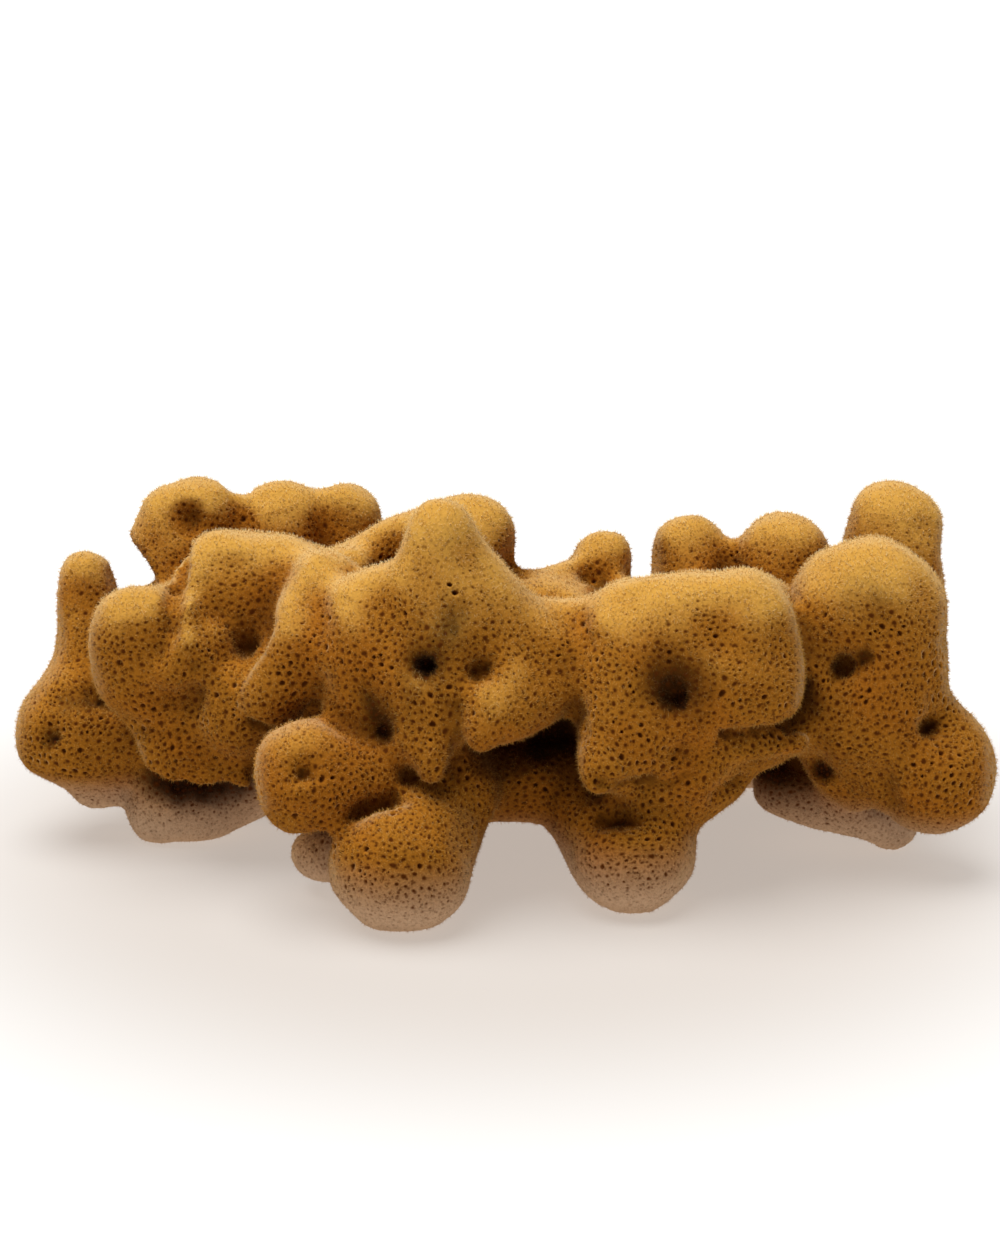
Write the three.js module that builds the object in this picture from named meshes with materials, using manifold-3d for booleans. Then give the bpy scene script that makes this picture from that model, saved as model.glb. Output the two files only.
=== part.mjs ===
// A natural sea sponge: one springy mass of rounded lobes, knobs, hanging nubs and ball-shaped feet.
// Millimetres, +Z up. The front of the sponge faces -Y and its long way runs along X.

import * as THREE from "three";
import Module from "manifold-3d";
import { SimplifyModifier } from "three/addons/modifiers/SimplifyModifier.js";
import { MarchingCubes } from "three/addons/objects/MarchingCubes.js";
import { mergeVertices } from "three/addons/utils/BufferGeometryUtils.js";

// How softly lobes of one mass, whole masses and dents run into each other.
const LOBE_BLEND = 3.5;
const MASS_BLEND = 2.5;
const DENT_BLEND = 4;

// Low swellings all over the lobes.
const LUMP_HEIGHT = 0.6;
const LUMP_LENGTH = 17;

// The cubic grid that the skin is drawn on, and how the skin is evened out and thinned.
const GRID_SPAN = 244;
const GRID_COUNT = 86;
const GRID_CENTRE = new THREE.Vector3(0, -4, 42);
const GRID_TRIANGLES = 120000;
const WELD = 0.01;
const SLOPE_STEP = 0.2;
const RELAX_ROUNDS = 2;
const RELAX_SHARE = 0.6;
const SKIN_CORNERS = 3950;

// A mouth is a funnel in the skin. Its widths and depths are shares of its radius and depth.
const MOUTH_SIDES = 8;
const MOUTH_ABOVE = 3;
const FLARE_WIDTH = 1.6;
const THROAT_DEPTH = 0.2;
const FLOOR_WIDTH = 0.75;
const FLOOR_DEPTH = 0.85;
const MARCH_STEP = 0.05;

// Mouths at the front face a viewer this far away, who looks down at this slope.
const VIEWER_DISTANCE = 590;
const VIEWER_SLOPE = 0.33;
const OUTSIDE = 75;
const ABOVE = 110;

const GROUND = [300, 200, 40];

const GOLDEN_OCHRE = 0x9c6a26;
const SPONGE_ROUGHNESS = 0.95;

// A limb is a rounded finger of sponge between two balls, each with its own radius.
function limb(start, startRadius, end = start, endRadius = startRadius) {
  return {
    start: new THREE.Vector3(...start),
    along: new THREE.Vector3(...end).sub(new THREE.Vector3(...start)),
    startRadius,
    endRadius,
  };
}

// The root that all lobes share, out of sight in the middle.
function root() {
  return [
    limb([-84, 12, 36], 13, [-50, 8, 40], 17),
    limb([-50, 8, 40], 17, [-5, 2, 44], 19),
    limb([-5, 2, 44], 19, [45, 2, 40], 18),
    limb([-4, -4, 34], 16, [24, -4, 34], 16),
    limb([45, 2, 40], 18, [84, 4, 38], 16),
    limb([-51, -15, 55], 4),
    limb([9, -18, 27], 4),
    limb([53, -21, 43], 4),
  ];
}

// The heart-shaped lobe in the middle of the front: one peak, two hanging nubs.
function heartLobe() {
  return [
    limb([-14, -32, 82.5], 6, [-14, -33, 70], 9.8),
    limb([-12, -32, 80], 5.5, [-7, -32, 66], 10),
    limb([-14, -32, 67], 11.6, [-27, -29, 58], 13.8),
    limb([-28, -28, 56], 13.7, [-26, -32, 45], 12.4),
    limb([-12, -33, 57], 15.5, [-17, -37, 46], 12.5),
    limb([-6, -32, 60], 12.5, [4, -33, 52], 10.8),
    limb([-17, -42, 47], 9.8, [-15, -48, 37], 4.9),
    limb([9, -37, 49], 7.3, [-3, -50, 45.5], 6),
    limb([4, -37, 53], 9, [0, -44, 49], 7),
    limb([-30, -35, 42], 8.6, [-28, -38, 34], 8),
    limb([3, -30, 54], 10.8, [21, -30, 54], 11.7),
  ];
}

// The squarish lobe right of the middle, with a hanging nub at its lower left.
function squareLobe() {
  return [
    limb([29, -34, 58], 13.3, [50, -31, 60], 12.9),
    limb([29, -38, 46], 13.3, [52, -35, 49.5], 12.4),
    limb([29, -37, 48], 13.7, [40, -37, 50], 13.7),
    limb([29, -40, 35], 9.9, [40, -38, 31], 9.9),
    limb([23, -45, 39], 7.2, [21, -50, 33], 5.2),
  ];
}

// The shelf that sticks out below the squarish lobe, and the lip along its bottom.
function shelf() {
  return [
    limb([54, -22, 36], 6.5, [61.5, -20, 36], 6.5),
    limb([49, -36, 32.4], 3.6, [62, -30, 33.3], 4.4),
    limb([40, -34, 29], 7, [47, -32, 27], 6.3),
    limb([32, -36, 25], 6.5, [43, -35, 24], 6.5),
  ];
}

// The tall lobe at the right end, with a bulge low on its outer side.
function tallLobe() {
  return [
    limb([80, -16, 58], 17.2, [81, -18, 39], 16.8),
    limb([75, -17, 54], 14.5, [74, -16, 44], 13),
    limb([86, -18, 32], 13.3, [95, -22, 24.5], 13.9),
    limb([77, -16, 34], 14.7, [78, -14, 25], 10.8),
  ];
}

// The pale ridge and foot under the tall lobe.
function rightFoot() {
  return [
    limb([68, 2, 17], 8.3, [77, -2, 18], 9.2),
    limb([62, -5, 14], 5.9, [75, -7, 10], 5.9),
    limb([79, -8, 12], 6.4, [89, -7, 5], 5.5),
  ];
}

// The knobbly mass left of the heart: two upper lobes, a ridge and a ragged lower lip.
function knobblyMass() {
  return [
    limb([-82, -16, 54], 9.7, [-81, -13, 42], 9.8),
    limb([-79, -17, 57], 7),
    limb([-61, -4, 62], 12.3, [-46, -6, 62], 10.5),
    limb([-36, -2, 63], 6.5),
    limb([-67, -7, 62], 8.5),
    limb([-60, -10, 51], 10, [-64, -12, 40], 11.2),
    limb([-70, -12, 37], 11.6, [-58, -13, 35], 11.6),
    limb([-75, -18, 29], 6.7, [-59, -16, 27], 6.7),
    limb([-71, -14, 53], 8.5),
    limb([-84, 8, 22], 9, [-80, 0, 24], 9),
    limb([-39, -18, 65], 8.3, [-44, -27, 55], 8),
    limb([-44, -27, 55], 8, [-51, -28, 43], 7.4),
  ];
}

// Small round knobs down the front of the knobbly mass.
function knobs() {
  return [
    limb([-70, -21, 61], 3.6),
    limb([-69, -25, 54.5], 3.5),
    limb([-65, -24, 49], 3.4),
    limb([-73, -25, 48], 3.4),
  ];
}

// The lobe at the left end: a low ball with a finger that stands up behind it.
function leftLobe() {
  return [
    limb([-97, 2, 26], 14, [-91, 2, 24], 11.9),
    limb([-105, -4, 24], 5.5),
    limb([-94, 10, 38], 9.9, [-95.5, 16, 57], 7.1),
    limb([-96, 6, 11], 5.6, [-89, 6, 11], 5.6),
  ];
}

// The pale foot below the knobbly mass.
function leftFoot() {
  return [
    limb([-78, -1, 7.8], 8.8, [-69, 1, 8.2], 8.8),
    limb([-61, 4, 10.5], 8, [-52, 4, 15], 8),
    limb([-67, 4, 12], 8, [-64, 6, 28], 11),
  ];
}

// The two ball-shaped feet below the front, their necks, and the ball that leans out beside them.
function frontFeet() {
  return [
    limb([-42, -46, 32], 11.5, [-30, -40, 30], 9.9),
    limb([-44, -48, 27], 6.4),
    limb([-22, -50, 14], 15.4),
    limb([-11, -38, 24], 9.5, [-18, -44, 17], 10.8),
    limb([-29, -32, 28], 10, [-12, -30, 26], 10.5),
    limb([-42, -34, 8], 5.5, [-35, -36, 11], 6.6),
    limb([28, -40, 12], 13.3),
    limb([17, -28, 19], 8.8, [24, -36, 14], 11.4),
    limb([-5, -26, 22], 7.3, [16, -26, 23], 8.4),
  ];
}

// The upright fingers along the back.
function backFingers() {
  return [
    limb([-80, 32, 63], 8, [-78, 28, 54], 8.5),
    limb([-72, 34, 68], 9, [-71, 30, 50], 10),
    limb([-53, 38, 64], 10.4, [-53, 30, 46], 11),
    limb([-38, 42, 65], 8.4, [-38, 36, 46], 10),
    limb([-8, 6, 69], 10.6, [-12, 2, 68], 10.4),
    limb([-39, 10, 59], 5.9, [-19, 6, 71], 6.3),
    limb([23, 18, 61], 6.9, [22, 14, 50], 7.9),
    limb([14, 11, 58], 5, [5, 1, 52.5], 5),
    limb([13, 22, 54], 5.1, [13, 20, 46], 6.1),
    limb([44, 36, 58], 8.8, [45, 28, 42], 11),
    limb([66, 32, 57], 11.6, [66, 24, 42], 12),
    limb([91, 28, 66], 11.2, [90, 18, 46], 12),
  ];
}

// The lobes between the front and the back, seen only from above.
function middleLobes() {
  return [
    limb([-72, 12, 46], 12.5),
    limb([-50, 16, 48], 12, [-40, 20, 44], 12),
    limb([-20, 22, 44], 13, [-8, 16, 46], 11),
    limb([-20, -18, 60], 10),
    limb([-2, -14, 45], 12, [18, -12, 42], 13),
    limb([8, 0, 49], 8),
    limb([40, -14, 46], 14, [50, -8, 48], 13),
    limb([38, -2, 50], 9),
    limb([46, -20, 56], 9),
    limb([30, 8, 43], 12),
    limb([22, 25, 36], 12),
    limb([50, 14, 45], 13.5),
    limb([57, 4, 53], 9),
    limb([66, -12, 46], 13),
    limb([76, 12, 44], 13.5),
    limb([6, 20, 38], 13),
  ];
}

// The low lobes, hanging nubs and ball-shaped feet along the back.
function backLobes() {
  return [
    limb([-86, 28, 38], 12.5, [-81, 31, 25], 10),
    limb([-67, 38, 40], 11.5, [-62, 36, 31], 11),
    limb([-50, 38, 30], 13, [-43, 36, 24], 11),
    limb([-46, 36, 12.3], 13),
    limb([-31, 42, 42], 11, [-24, 43, 31], 11.5),
    limb([-7, 40, 34], 13.5, [-10, 42, 25], 8),
    limb([11, 36, 33], 12, [17, 38, 22], 7),
    limb([29, 38, 31], 12.5),
    limb([46, 42, 38], 12, [53, 40, 24], 11),
    limb([59, 37, 11.8], 12.6),
    limb([73, 38, 40], 12, [79, 36, 29], 12),
    limb([92, 24, 36], 12, [88, 20, 23], 10),
  ];
}

// Dents pressed into the lobes, most of them around a mouth.
function dents() {
  return [
    limb([37, -59, 51], 9),
    limb([-53, -25, 56], 4.6, [-56, -25, 51], 4),
    limb([75, -38, 51], 4),
    limb([-90, -14, 34], 4),
    limb([-25, -48, 25], 4),
  ];
}

const MASSES = [
  root(), heartLobe(), squareLobe(), shelf(), tallLobe(), rightFoot(), knobblyMass(), knobs(), leftLobe(),
  leftFoot(), frontFeet(), backFingers(), middleLobes(), backLobes(),
];
const DENTS = dents();

// Distance from a point to the rounded finger, negative inside.
const offset = new THREE.Vector3();
function limbDistance(shape, point) {
  offset.subVectors(point, shape.start);
  const length = shape.along.lengthSq();
  const t = length > 0 ? THREE.MathUtils.clamp(offset.dot(shape.along) / length, 0, 1) : 0;
  offset.addScaledVector(shape.along, -t);
  return offset.length() - THREE.MathUtils.lerp(shape.startRadius, shape.endRadius, t);
}

// Two lobes run into each other over a soft valley of the given width.
function soften(first, second, width) {
  const mix = Math.max(width - Math.abs(first - second), 0) / width;
  return Math.min(first, second) - mix * mix * width * 0.25;
}

// Low swellings that keep the lobes from being perfect balls.
function lumps(point) {
  const turn = (2 * Math.PI) / LUMP_LENGTH;
  const a = Math.sin(turn * (point.x + 0.4 * point.y) + 1.3);
  const b = Math.sin(turn * (point.y - 0.5 * point.z) + 0.4);
  const c = Math.sin(turn * (point.z + 0.3 * point.x) + 2.1);
  return LUMP_HEIGHT * (a * b + b * c + c * a);
}

function skinDistance(point) {
  let whole = Infinity;
  for (const mass of MASSES) {
    let part = Infinity;
    for (const shape of mass) part = soften(part, limbDistance(shape, point), LOBE_BLEND);
    whole = whole === Infinity ? part : soften(whole, part, MASS_BLEND);
  }
  for (const shape of DENTS) whole = -soften(-whole, limbDistance(shape, point), DENT_BLEND);
  return whole + lumps(point);
}

const probe = new THREE.Vector3();
function skinNormal(point) {
  const slope = new THREE.Vector3();
  for (const axis of ["x", "y", "z"]) {
    probe.copy(point)[axis] += SLOPE_STEP;
    const ahead = skinDistance(probe);
    probe.copy(point)[axis] -= SLOPE_STEP;
    slope[axis] = ahead - skinDistance(probe);
  }
  return slope.normalize();
}

// The skin as triangles, from the distance at each point of a cubic grid.
function rawSkin() {
  const cubes = new MarchingCubes(GRID_COUNT, undefined, false, false, GRID_TRIANGLES);
  cubes.isolation = 0;
  const half = GRID_COUNT / 2;
  const point = new THREE.Vector3();
  for (let k = 0; k < GRID_COUNT; k += 1) {
    for (let j = 0; j < GRID_COUNT; j += 1) {
      for (let i = 0; i < GRID_COUNT; i += 1) {
        point.set(i - half, j - half, k - half).multiplyScalar(GRID_SPAN / GRID_COUNT).add(GRID_CENTRE);
        cubes.field[i + GRID_COUNT * (j + GRID_COUNT * k)] = -skinDistance(point);
      }
    }
  }
  cubes.update();
  const corners = cubes.geometry.getAttribute("position").array.slice(0, cubes.count * 3);
  const skin = new THREE.BufferGeometry();
  skin.setAttribute("position", new THREE.BufferAttribute(corners, 3));
  skin.scale(GRID_SPAN / 2, GRID_SPAN / 2, GRID_SPAN / 2);
  skin.translate(GRID_CENTRE.x, GRID_CENTRE.y, GRID_CENTRE.z);
  return mergeVertices(skin, WELD);
}

// Evens out the triangles, then brings each corner back to the skin.
function relax(skin) {
  const corners = skin.getAttribute("position");
  const index = skin.index.array;
  const around = Array.from({ length: corners.count }, () => new Set());
  for (let i = 0; i < index.length; i += 3) {
    for (let j = 0; j < 3; j += 1) {
      around[index[i + j]].add(index[i + ((j + 1) % 3)]);
      around[index[i + j]].add(index[i + ((j + 2) % 3)]);
    }
  }
  const point = new THREE.Vector3();
  const other = new THREE.Vector3();
  const middle = new THREE.Vector3();
  for (let round = 0; round < RELAX_ROUNDS; round += 1) {
    for (let i = 0; i < corners.count; i += 1) {
      middle.set(0, 0, 0);
      for (const j of around[i]) middle.add(other.fromBufferAttribute(corners, j));
      middle.divideScalar(around[i].size);
      point.fromBufferAttribute(corners, i).lerp(middle, RELAX_SHARE);
      const normal = skinNormal(point);
      point.addScaledVector(normal, -skinDistance(point));
      corners.setXYZ(i, point.x, point.y, point.z);
    }
  }
  return skin;
}

// Large triangles where the skin is flat, small ones where it bends.
async function simplify(skin) {
  const spare = skin.getAttribute("position").count - SKIN_CORNERS;
  return new SimplifyModifier().modify(skin, spare);
}

// An open mouth: a funnel that narrows into a blind tube, from where a straight way in meets the skin.
function mouth(from, towards, radius, depth) {
  const direction = new THREE.Vector3(...towards).normalize();
  const point = new THREE.Vector3(...from);
  while (skinDistance(point) > MARCH_STEP) point.addScaledVector(direction, MARCH_STEP);
  const profile = [
    [0, -MOUTH_ABOVE],
    [radius * FLARE_WIDTH, -MOUTH_ABOVE],
    [radius, depth * THROAT_DEPTH],
    [radius * FLOOR_WIDTH, depth * FLOOR_DEPTH],
    [0, depth],
  ];
  const cutter = new THREE.LatheGeometry(profile.map((p) => new THREE.Vector2(...p)), MOUTH_SIDES);
  const up = new THREE.Vector3(0, 1, 0);
  cutter.applyQuaternion(new THREE.Quaternion().setFromUnitVectors(up, direction));
  return cutter.translate(point.x, point.y, point.z);
}

// Mouths seen from the front: x and z of the start of the way in, radius, depth.
function frontMouths() {
  return [
    [-16, 66, 2.6, 9], [-5, 65, 2.1, 7], [-24, 52, 2, 6], [34, 60, 3.4, 10], [68, 66, 3, 9],
    [86, 52, 2.8, 8], [64, 44, 2.4, 7], [-48, 72, 2.7, 8], [-91, 51, 2, 7], [-41, 43, 2.3, 7],
    [-63, 101, 3.2, 8], [20, 84, 3.2, 7], [-23, 36, 2.4, 7], [22, 32, 2.6, 8],
  ].map(([x, z, radius, depth]) => (
    mouth([x, -OUTSIDE, z], [x / VIEWER_DISTANCE, 1, -VIEWER_SLOPE], radius, depth)
  ));
}

// Mouths on the back: x and z behind the sponge, radius, depth.
function backMouths() {
  return [
    [-62, 37, 2.8, 9], [-8, 34, 2.6, 8], [33, 33, 2.4, 7], [75, 40, 3.1, 9], [67, 58, 2.6, 8],
  ].map(([x, z, radius, depth]) => mouth([x, OUTSIDE, z], [0, -1, 0], radius, depth));
}

// Mouths that open upwards: x and y above the sponge, radius, depth.
function topMouths() {
  return [
    [38, -14, 3, 9], [-70, 10, 2.8, 9], [76, 14, 2.8, 9], [-22, 22, 2.6, 8],
  ].map(([x, y, radius, depth]) => mouth([x, y, ABOVE], [0, 0, -1], radius, depth));
}

const wasm = await Module();
wasm.setup();

function solid(geometry) {
  const plain = geometry.clone();
  plain.deleteAttribute("normal");
  plain.deleteAttribute("uv");
  const merged = mergeVertices(plain, WELD / 10);
  return new wasm.Manifold(new wasm.Mesh({
    numProp: 3,
    vertProperties: new Float32Array(merged.getAttribute("position").array),
    triVerts: new Uint32Array(merged.index.array),
  }));
}

// The ground takes a flat patch off each foot.
function ground() {
  return new THREE.BoxGeometry(...GROUND).translate(0, 0, -GROUND[2] / 2);
}

async function spongeGeometry() {
  let body = solid(await simplify(relax(rawSkin()))).subtract(solid(ground()));
  const cutters = [...frontMouths(), ...backMouths(), ...topMouths()];
  for (const cutter of cutters) body = body.subtract(solid(cutter));
  const mesh = body.getMesh();
  const geometry = new THREE.BufferGeometry();
  geometry.setAttribute("position", new THREE.BufferAttribute(new Float32Array(mesh.vertProperties), 3));
  geometry.setIndex(new THREE.BufferAttribute(new Uint32Array(mesh.triVerts), 1));
  geometry.computeVertexNormals();
  return geometry;
}

// The origin is at the middle of the length and the depth, on the ground.
async function sponge() {
  const geometry = await spongeGeometry();
  geometry.computeBoundingBox();
  const middle = geometry.boundingBox.getCenter(new THREE.Vector3());
  const skin = new THREE.MeshStandardMaterial({
    color: new THREE.Color(GOLDEN_OCHRE),
    roughness: SPONGE_ROUGHNESS,
    metalness: 0,
  });
  const mesh = new THREE.Mesh(geometry, skin);
  mesh.name = "sponge";
  mesh.position.set(-middle.x, -middle.y, 0);
  return mesh;
}

const group = new THREE.Group();
group.name = "sea_sponge";
group.add(await sponge());

export default group;
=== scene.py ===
# A natural sea sponge, dried: golden lobes with open mouths, fine pores and a velvet pile of fibre ends.
# Metres, +Z up. The front of the sponge faces -Y and its long way runs along X.

import math

import bmesh
import bpy
import numpy as np
from mathutils import Matrix, Vector
from mathutils.bvhtree import BVHTree


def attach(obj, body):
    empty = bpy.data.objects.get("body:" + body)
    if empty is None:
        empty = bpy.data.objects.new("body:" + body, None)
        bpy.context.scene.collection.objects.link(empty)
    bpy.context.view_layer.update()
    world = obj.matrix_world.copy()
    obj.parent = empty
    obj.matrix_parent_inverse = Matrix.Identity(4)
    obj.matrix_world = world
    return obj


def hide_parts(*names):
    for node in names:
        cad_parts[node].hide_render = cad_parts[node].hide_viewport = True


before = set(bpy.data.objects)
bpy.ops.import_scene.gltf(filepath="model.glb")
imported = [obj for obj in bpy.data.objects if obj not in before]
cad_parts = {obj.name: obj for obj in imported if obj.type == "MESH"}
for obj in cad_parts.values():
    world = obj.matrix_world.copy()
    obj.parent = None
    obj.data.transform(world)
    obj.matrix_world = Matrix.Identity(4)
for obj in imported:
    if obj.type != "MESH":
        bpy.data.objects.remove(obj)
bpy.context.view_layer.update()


# The camera stands in front of the sponge and looks slightly down on it.
# A long lens keeps the lobes at the back nearly as large as those in front.
CAMERA_AIM = Vector((0.00017, 0.0054, 0.052))
CAMERA_RISE = math.radians(17)
CAMERA_DISTANCE = 0.664
CAMERA_LENS = 85
CAMERA_NEAREST = 0.01


def placed(name, data):
    """A new object in the scene, made from a mesh, a camera or a lamp."""
    thing = bpy.data.objects.new(name, data)
    bpy.context.scene.collection.objects.link(thing)
    return thing


lens = bpy.data.cameras.new("camera")
lens.lens = CAMERA_LENS
lens.clip_start = CAMERA_NEAREST
camera = placed("camera", lens)
towards_camera = Vector((0, -math.cos(CAMERA_RISE), math.sin(CAMERA_RISE)))
camera.location = CAMERA_AIM + towards_camera * CAMERA_DISTANCE
camera.rotation_euler = towards_camera.to_track_quat("Z", "Y").to_euler()
bpy.context.scene.camera = camera


# A plain white floor under a white sky, with one wide soft light from above and a little behind.
# The light from above leaves the tops pale and the faces towards the camera darker.
# The floor glows a little, as a light table does, and more so further away from the sponge; its dimmer,
# warmer glow near the sponge is a painted shadow.
FLOOR_HALF = 12.0
FLOOR_WHITE = (0.26, 0.255, 0.25, 1)
FLOOR_GLOW_PAINTED_SHADOW = (0.475, 0.42, 0.375, 1)
FLOOR_GLOW_FAR = (0.80, 0.80, 0.795, 1)
FLOOR_GLOW_REACH = (0.08, 0.19)
SKY_WHITE = (1.0, 0.99, 0.98, 1)
SKY_STRENGTH = 0.22
LIGHT_STRENGTH = 3.4
LIGHT_WARMTH = (1.0, 0.985, 0.96)
LIGHT_SPREAD = math.radians(50)
LIGHT_FROM = Vector((-0.22, 0.02, 1.0))


def add(tree, kind, links=(), **settings):
    """A node with its settings, and with its inputs linked or set."""
    node = tree.nodes.new(kind)
    for name, value in settings.items():
        setattr(node, name, value)
    for name, value in dict(links).items():
        if isinstance(value, bpy.types.NodeSocket):
            tree.links.new(value, node.inputs[name])
        else:
            node.inputs[name].default_value = value
    return node


def ramp(tree, value, low, high):
    """A smooth step from 0 to 1 while the value goes from low to high."""
    return add(tree, "ShaderNodeMapRange", {
        "Value": value, "From Min": low, "From Max": high,
    }, interpolation_type="SMOOTHSTEP").outputs["Result"]


def blend(tree, mask, first, second):
    """A mix of two colours, all of it the second where the mask is 1."""
    return add(tree, "ShaderNodeMix", {0: mask, 6: first, 7: second}, data_type="RGBA").outputs[2]


floor_mesh = bpy.data.meshes.new("floor")
floor_mesh.from_pydata(
    [(x * FLOOR_HALF, y * FLOOR_HALF, 0) for x, y in ((-1, -1), (1, -1), (1, 1), (-1, 1))],
    [], [(0, 1, 2, 3)],
)
floor = placed("floor", floor_mesh)
floor_paint = bpy.data.materials.new("white_floor")
floor_paint.use_nodes = True
floor_tree = floor_paint.node_tree
floor_shader = floor_tree.nodes["Principled BSDF"]
floor_shader.inputs["Base Color"].default_value = FLOOR_WHITE
floor_shader.inputs["Roughness"].default_value = 0.9
floor_shader.inputs["Emission Strength"].default_value = 1
floor_place = add(floor_tree, "ShaderNodeTexCoord").outputs["Object"]
from_middle = add(
    floor_tree, "ShaderNodeVectorMath", {"Vector": floor_place}, operation="LENGTH",
).outputs["Value"]
# The floor's glow is dimmer and warmer near the sponge: a painted shadow around it.
floor_tree.links.new(
    blend(floor_tree, ramp(floor_tree, from_middle, *FLOOR_GLOW_REACH), FLOOR_GLOW_PAINTED_SHADOW, FLOOR_GLOW_FAR),
    floor_shader.inputs["Emission Color"],
)
floor_mesh.materials.append(floor_paint)

sky = bpy.data.worlds.new("white_sky")
sky.use_nodes = True
sky.node_tree.nodes["Background"].inputs["Color"].default_value = SKY_WHITE
sky.node_tree.nodes["Background"].inputs["Strength"].default_value = SKY_STRENGTH
bpy.context.scene.world = sky
bpy.context.scene.view_settings.view_transform = "Standard"

lamp = bpy.data.lights.new("light_above", "SUN")
lamp.energy = LIGHT_STRENGTH
lamp.color = LIGHT_WARMTH
lamp.angle = LIGHT_SPREAD
light = placed("light_above", lamp)
light.rotation_euler = LIGHT_FROM.to_track_quat("Z", "Y").to_euler()


# The body is the sponge's springy skeleton, grown in one piece, golden ochre and full of small pores.
# It starts from the faceted solid, rounded, with a few cuts, small knobs and many sunk hollows.
# Its skin is laid out in small cells, and each has a pore: a faint dimple, or an open pit with a rim.
WELD = 1e-6
ROUNDING_VOXEL = 0.0010
ROUNDING = 14
ROUNDING_REACH = 40
SWELLING = 0.0009
SKIN_VOXEL = 0.0008
SKIN_SMOOTHING = 3
PILE_SINK = 0.0004
FLOOR_CLEARANCE = 0.0002
BODY_SEED = 11
seeds = np.random.default_rng(BODY_SEED)

# Each knob is a row of beads from one place to another, with the bead's radius at both ends.
KNOBS = [
    # the nub that hangs beside the heart's point
    ((-0.0028, -0.0450, 0.0500), 0.0042, (-0.0038, -0.0468, 0.0434), 0.0047),
    # flesh that hangs into the upper side of the square lobe's mouth and of the tall lobe's
    ((0.0368, -0.0398, 0.0505), 0.0024, (0.0396, -0.0398, 0.0498), 0.0022),
    ((0.0350, -0.0392, 0.0487), 0.0030, (0.0358, -0.0392, 0.0520), 0.0030),
    ((0.0765, -0.0182, 0.0505), 0.0030, (0.0768, -0.0182, 0.0520), 0.0030),
    ((0.0765, -0.0235, 0.0478), 0.0017, (0.0778, -0.0235, 0.0486), 0.0017),
    # the heart's point
    ((-0.0142, -0.0458, 0.0345), 0.0034, (-0.0142, -0.0452, 0.0390), 0.0037),
    # rough knobs in the notch of the left mass
    ((-0.0698, -0.0150, 0.0590), 0.0020, (-0.0706, -0.0095, 0.0614), 0.0020),
    ((-0.0686, -0.0180, 0.0578), 0.0018, (-0.0672, -0.0215, 0.0552), 0.0022),
    # the full flesh at the right of the left mass and below its ridge
    ((-0.0635, -0.0145, 0.0535), 0.0055, (-0.0600, -0.0140, 0.0475), 0.0055),
    ((-0.0515, -0.0120, 0.0545), 0.0036, (-0.0505, -0.0190, 0.0480), 0.0050),
    ((-0.0530, -0.0190, 0.0470), 0.0050, (-0.0545, -0.0215, 0.0420), 0.0050),
    ((-0.0570, -0.0160, 0.0430), 0.0092, (-0.0575, -0.0160, 0.0370), 0.0097),
    # the ragged lower lip of the left mass
    ((-0.0775, -0.0165, 0.0256), 0.0020, (-0.0722, -0.0174, 0.0230), 0.0021),
    ((-0.0682, -0.0174, 0.0222), 0.0015, (-0.0640, -0.0174, 0.0226), 0.0024),
    ((-0.0600, -0.0179, 0.0232), 0.0016, (-0.0563, -0.0184, 0.0222), 0.0022),
    # the left arm's tip, and the full lower side of its ball
    ((-0.0958, 0.0205, 0.0592), 0.0050, (-0.0955, 0.0195, 0.0520), 0.0056),
    ((-0.1015, -0.0015, 0.0215), 0.0040, (-0.0958, -0.0022, 0.0197), 0.0042),
    ((-0.0958, -0.0022, 0.0197), 0.0042, (-0.0890, -0.0005, 0.0203), 0.0040),
    # the ball at the front left, and the two front feet
    ((-0.0415, -0.0440, 0.0275), 0.0072, (-0.0445, -0.0425, 0.0335), 0.0076),
    ((-0.0235, -0.0475, 0.0124), 0.0122, (-0.0175, -0.0475, 0.0124), 0.0122),
    ((0.0270, -0.0380, 0.0120), 0.0118, (0.0298, -0.0380, 0.0120), 0.0118),
    ((-0.0270, -0.0430, 0.0225), 0.0034, (-0.0185, -0.0450, 0.0250), 0.0034),
    # the flesh between the tall lobe and the foot behind it
    ((0.0745, -0.0140, 0.0250), 0.0068, (0.0800, -0.0125, 0.0185), 0.0060),
    # the shelf at the lower right of the square lobe
    ((0.0480, -0.0385, 0.0358), 0.0029, (0.0650, -0.0318, 0.0362), 0.0030),
    # the upper left corner of the square lobe
    ((0.0285, -0.0300, 0.0688), 0.0034, (0.0345, -0.0295, 0.0696), 0.0035),
    # the broad lobe at the back left and the web beside it
    ((-0.0765, 0.0400, 0.0665), 0.0092, (-0.0740, 0.0400, 0.0670), 0.0092),
    ((-0.0613, 0.0400, 0.0685), 0.0048, (-0.0600, 0.0400, 0.0680), 0.0048),
]
BEAD_STEP = 0.0012
BEAD_FINENESS = 3

# Each cut is a row of beads too, carved away before the knobs are grown.
CUTS = [
    # the notch between the two upper knobs of the left mass
    ((-0.0711, -0.0080, 0.0605), 0.0018, (-0.0711, -0.0235, 0.0565), 0.0018),
    ((-0.0711, -0.0080, 0.0635), 0.0021, (-0.0711, -0.0235, 0.0600), 0.0021),
    ((-0.0711, 0.0020, 0.0665), 0.0022, (-0.0711, -0.0235, 0.0630), 0.0020),
    ((-0.0711, 0.0080, 0.0700), 0.0026, (-0.0711, -0.0235, 0.0660), 0.0021),
    ((-0.0711, 0.0080, 0.0740), 0.0028, (-0.0711, -0.0235, 0.0695), 0.0024),
    # the gap between the left arm's finger and the lobe behind it
    ((-0.0872, 0.0120, 0.0595), 0.0028, (-0.0872, 0.0520, 0.0595), 0.0028),
    ((-0.0846, 0.0120, 0.0555), 0.0042, (-0.0846, 0.0520, 0.0555), 0.0042),
]

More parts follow.
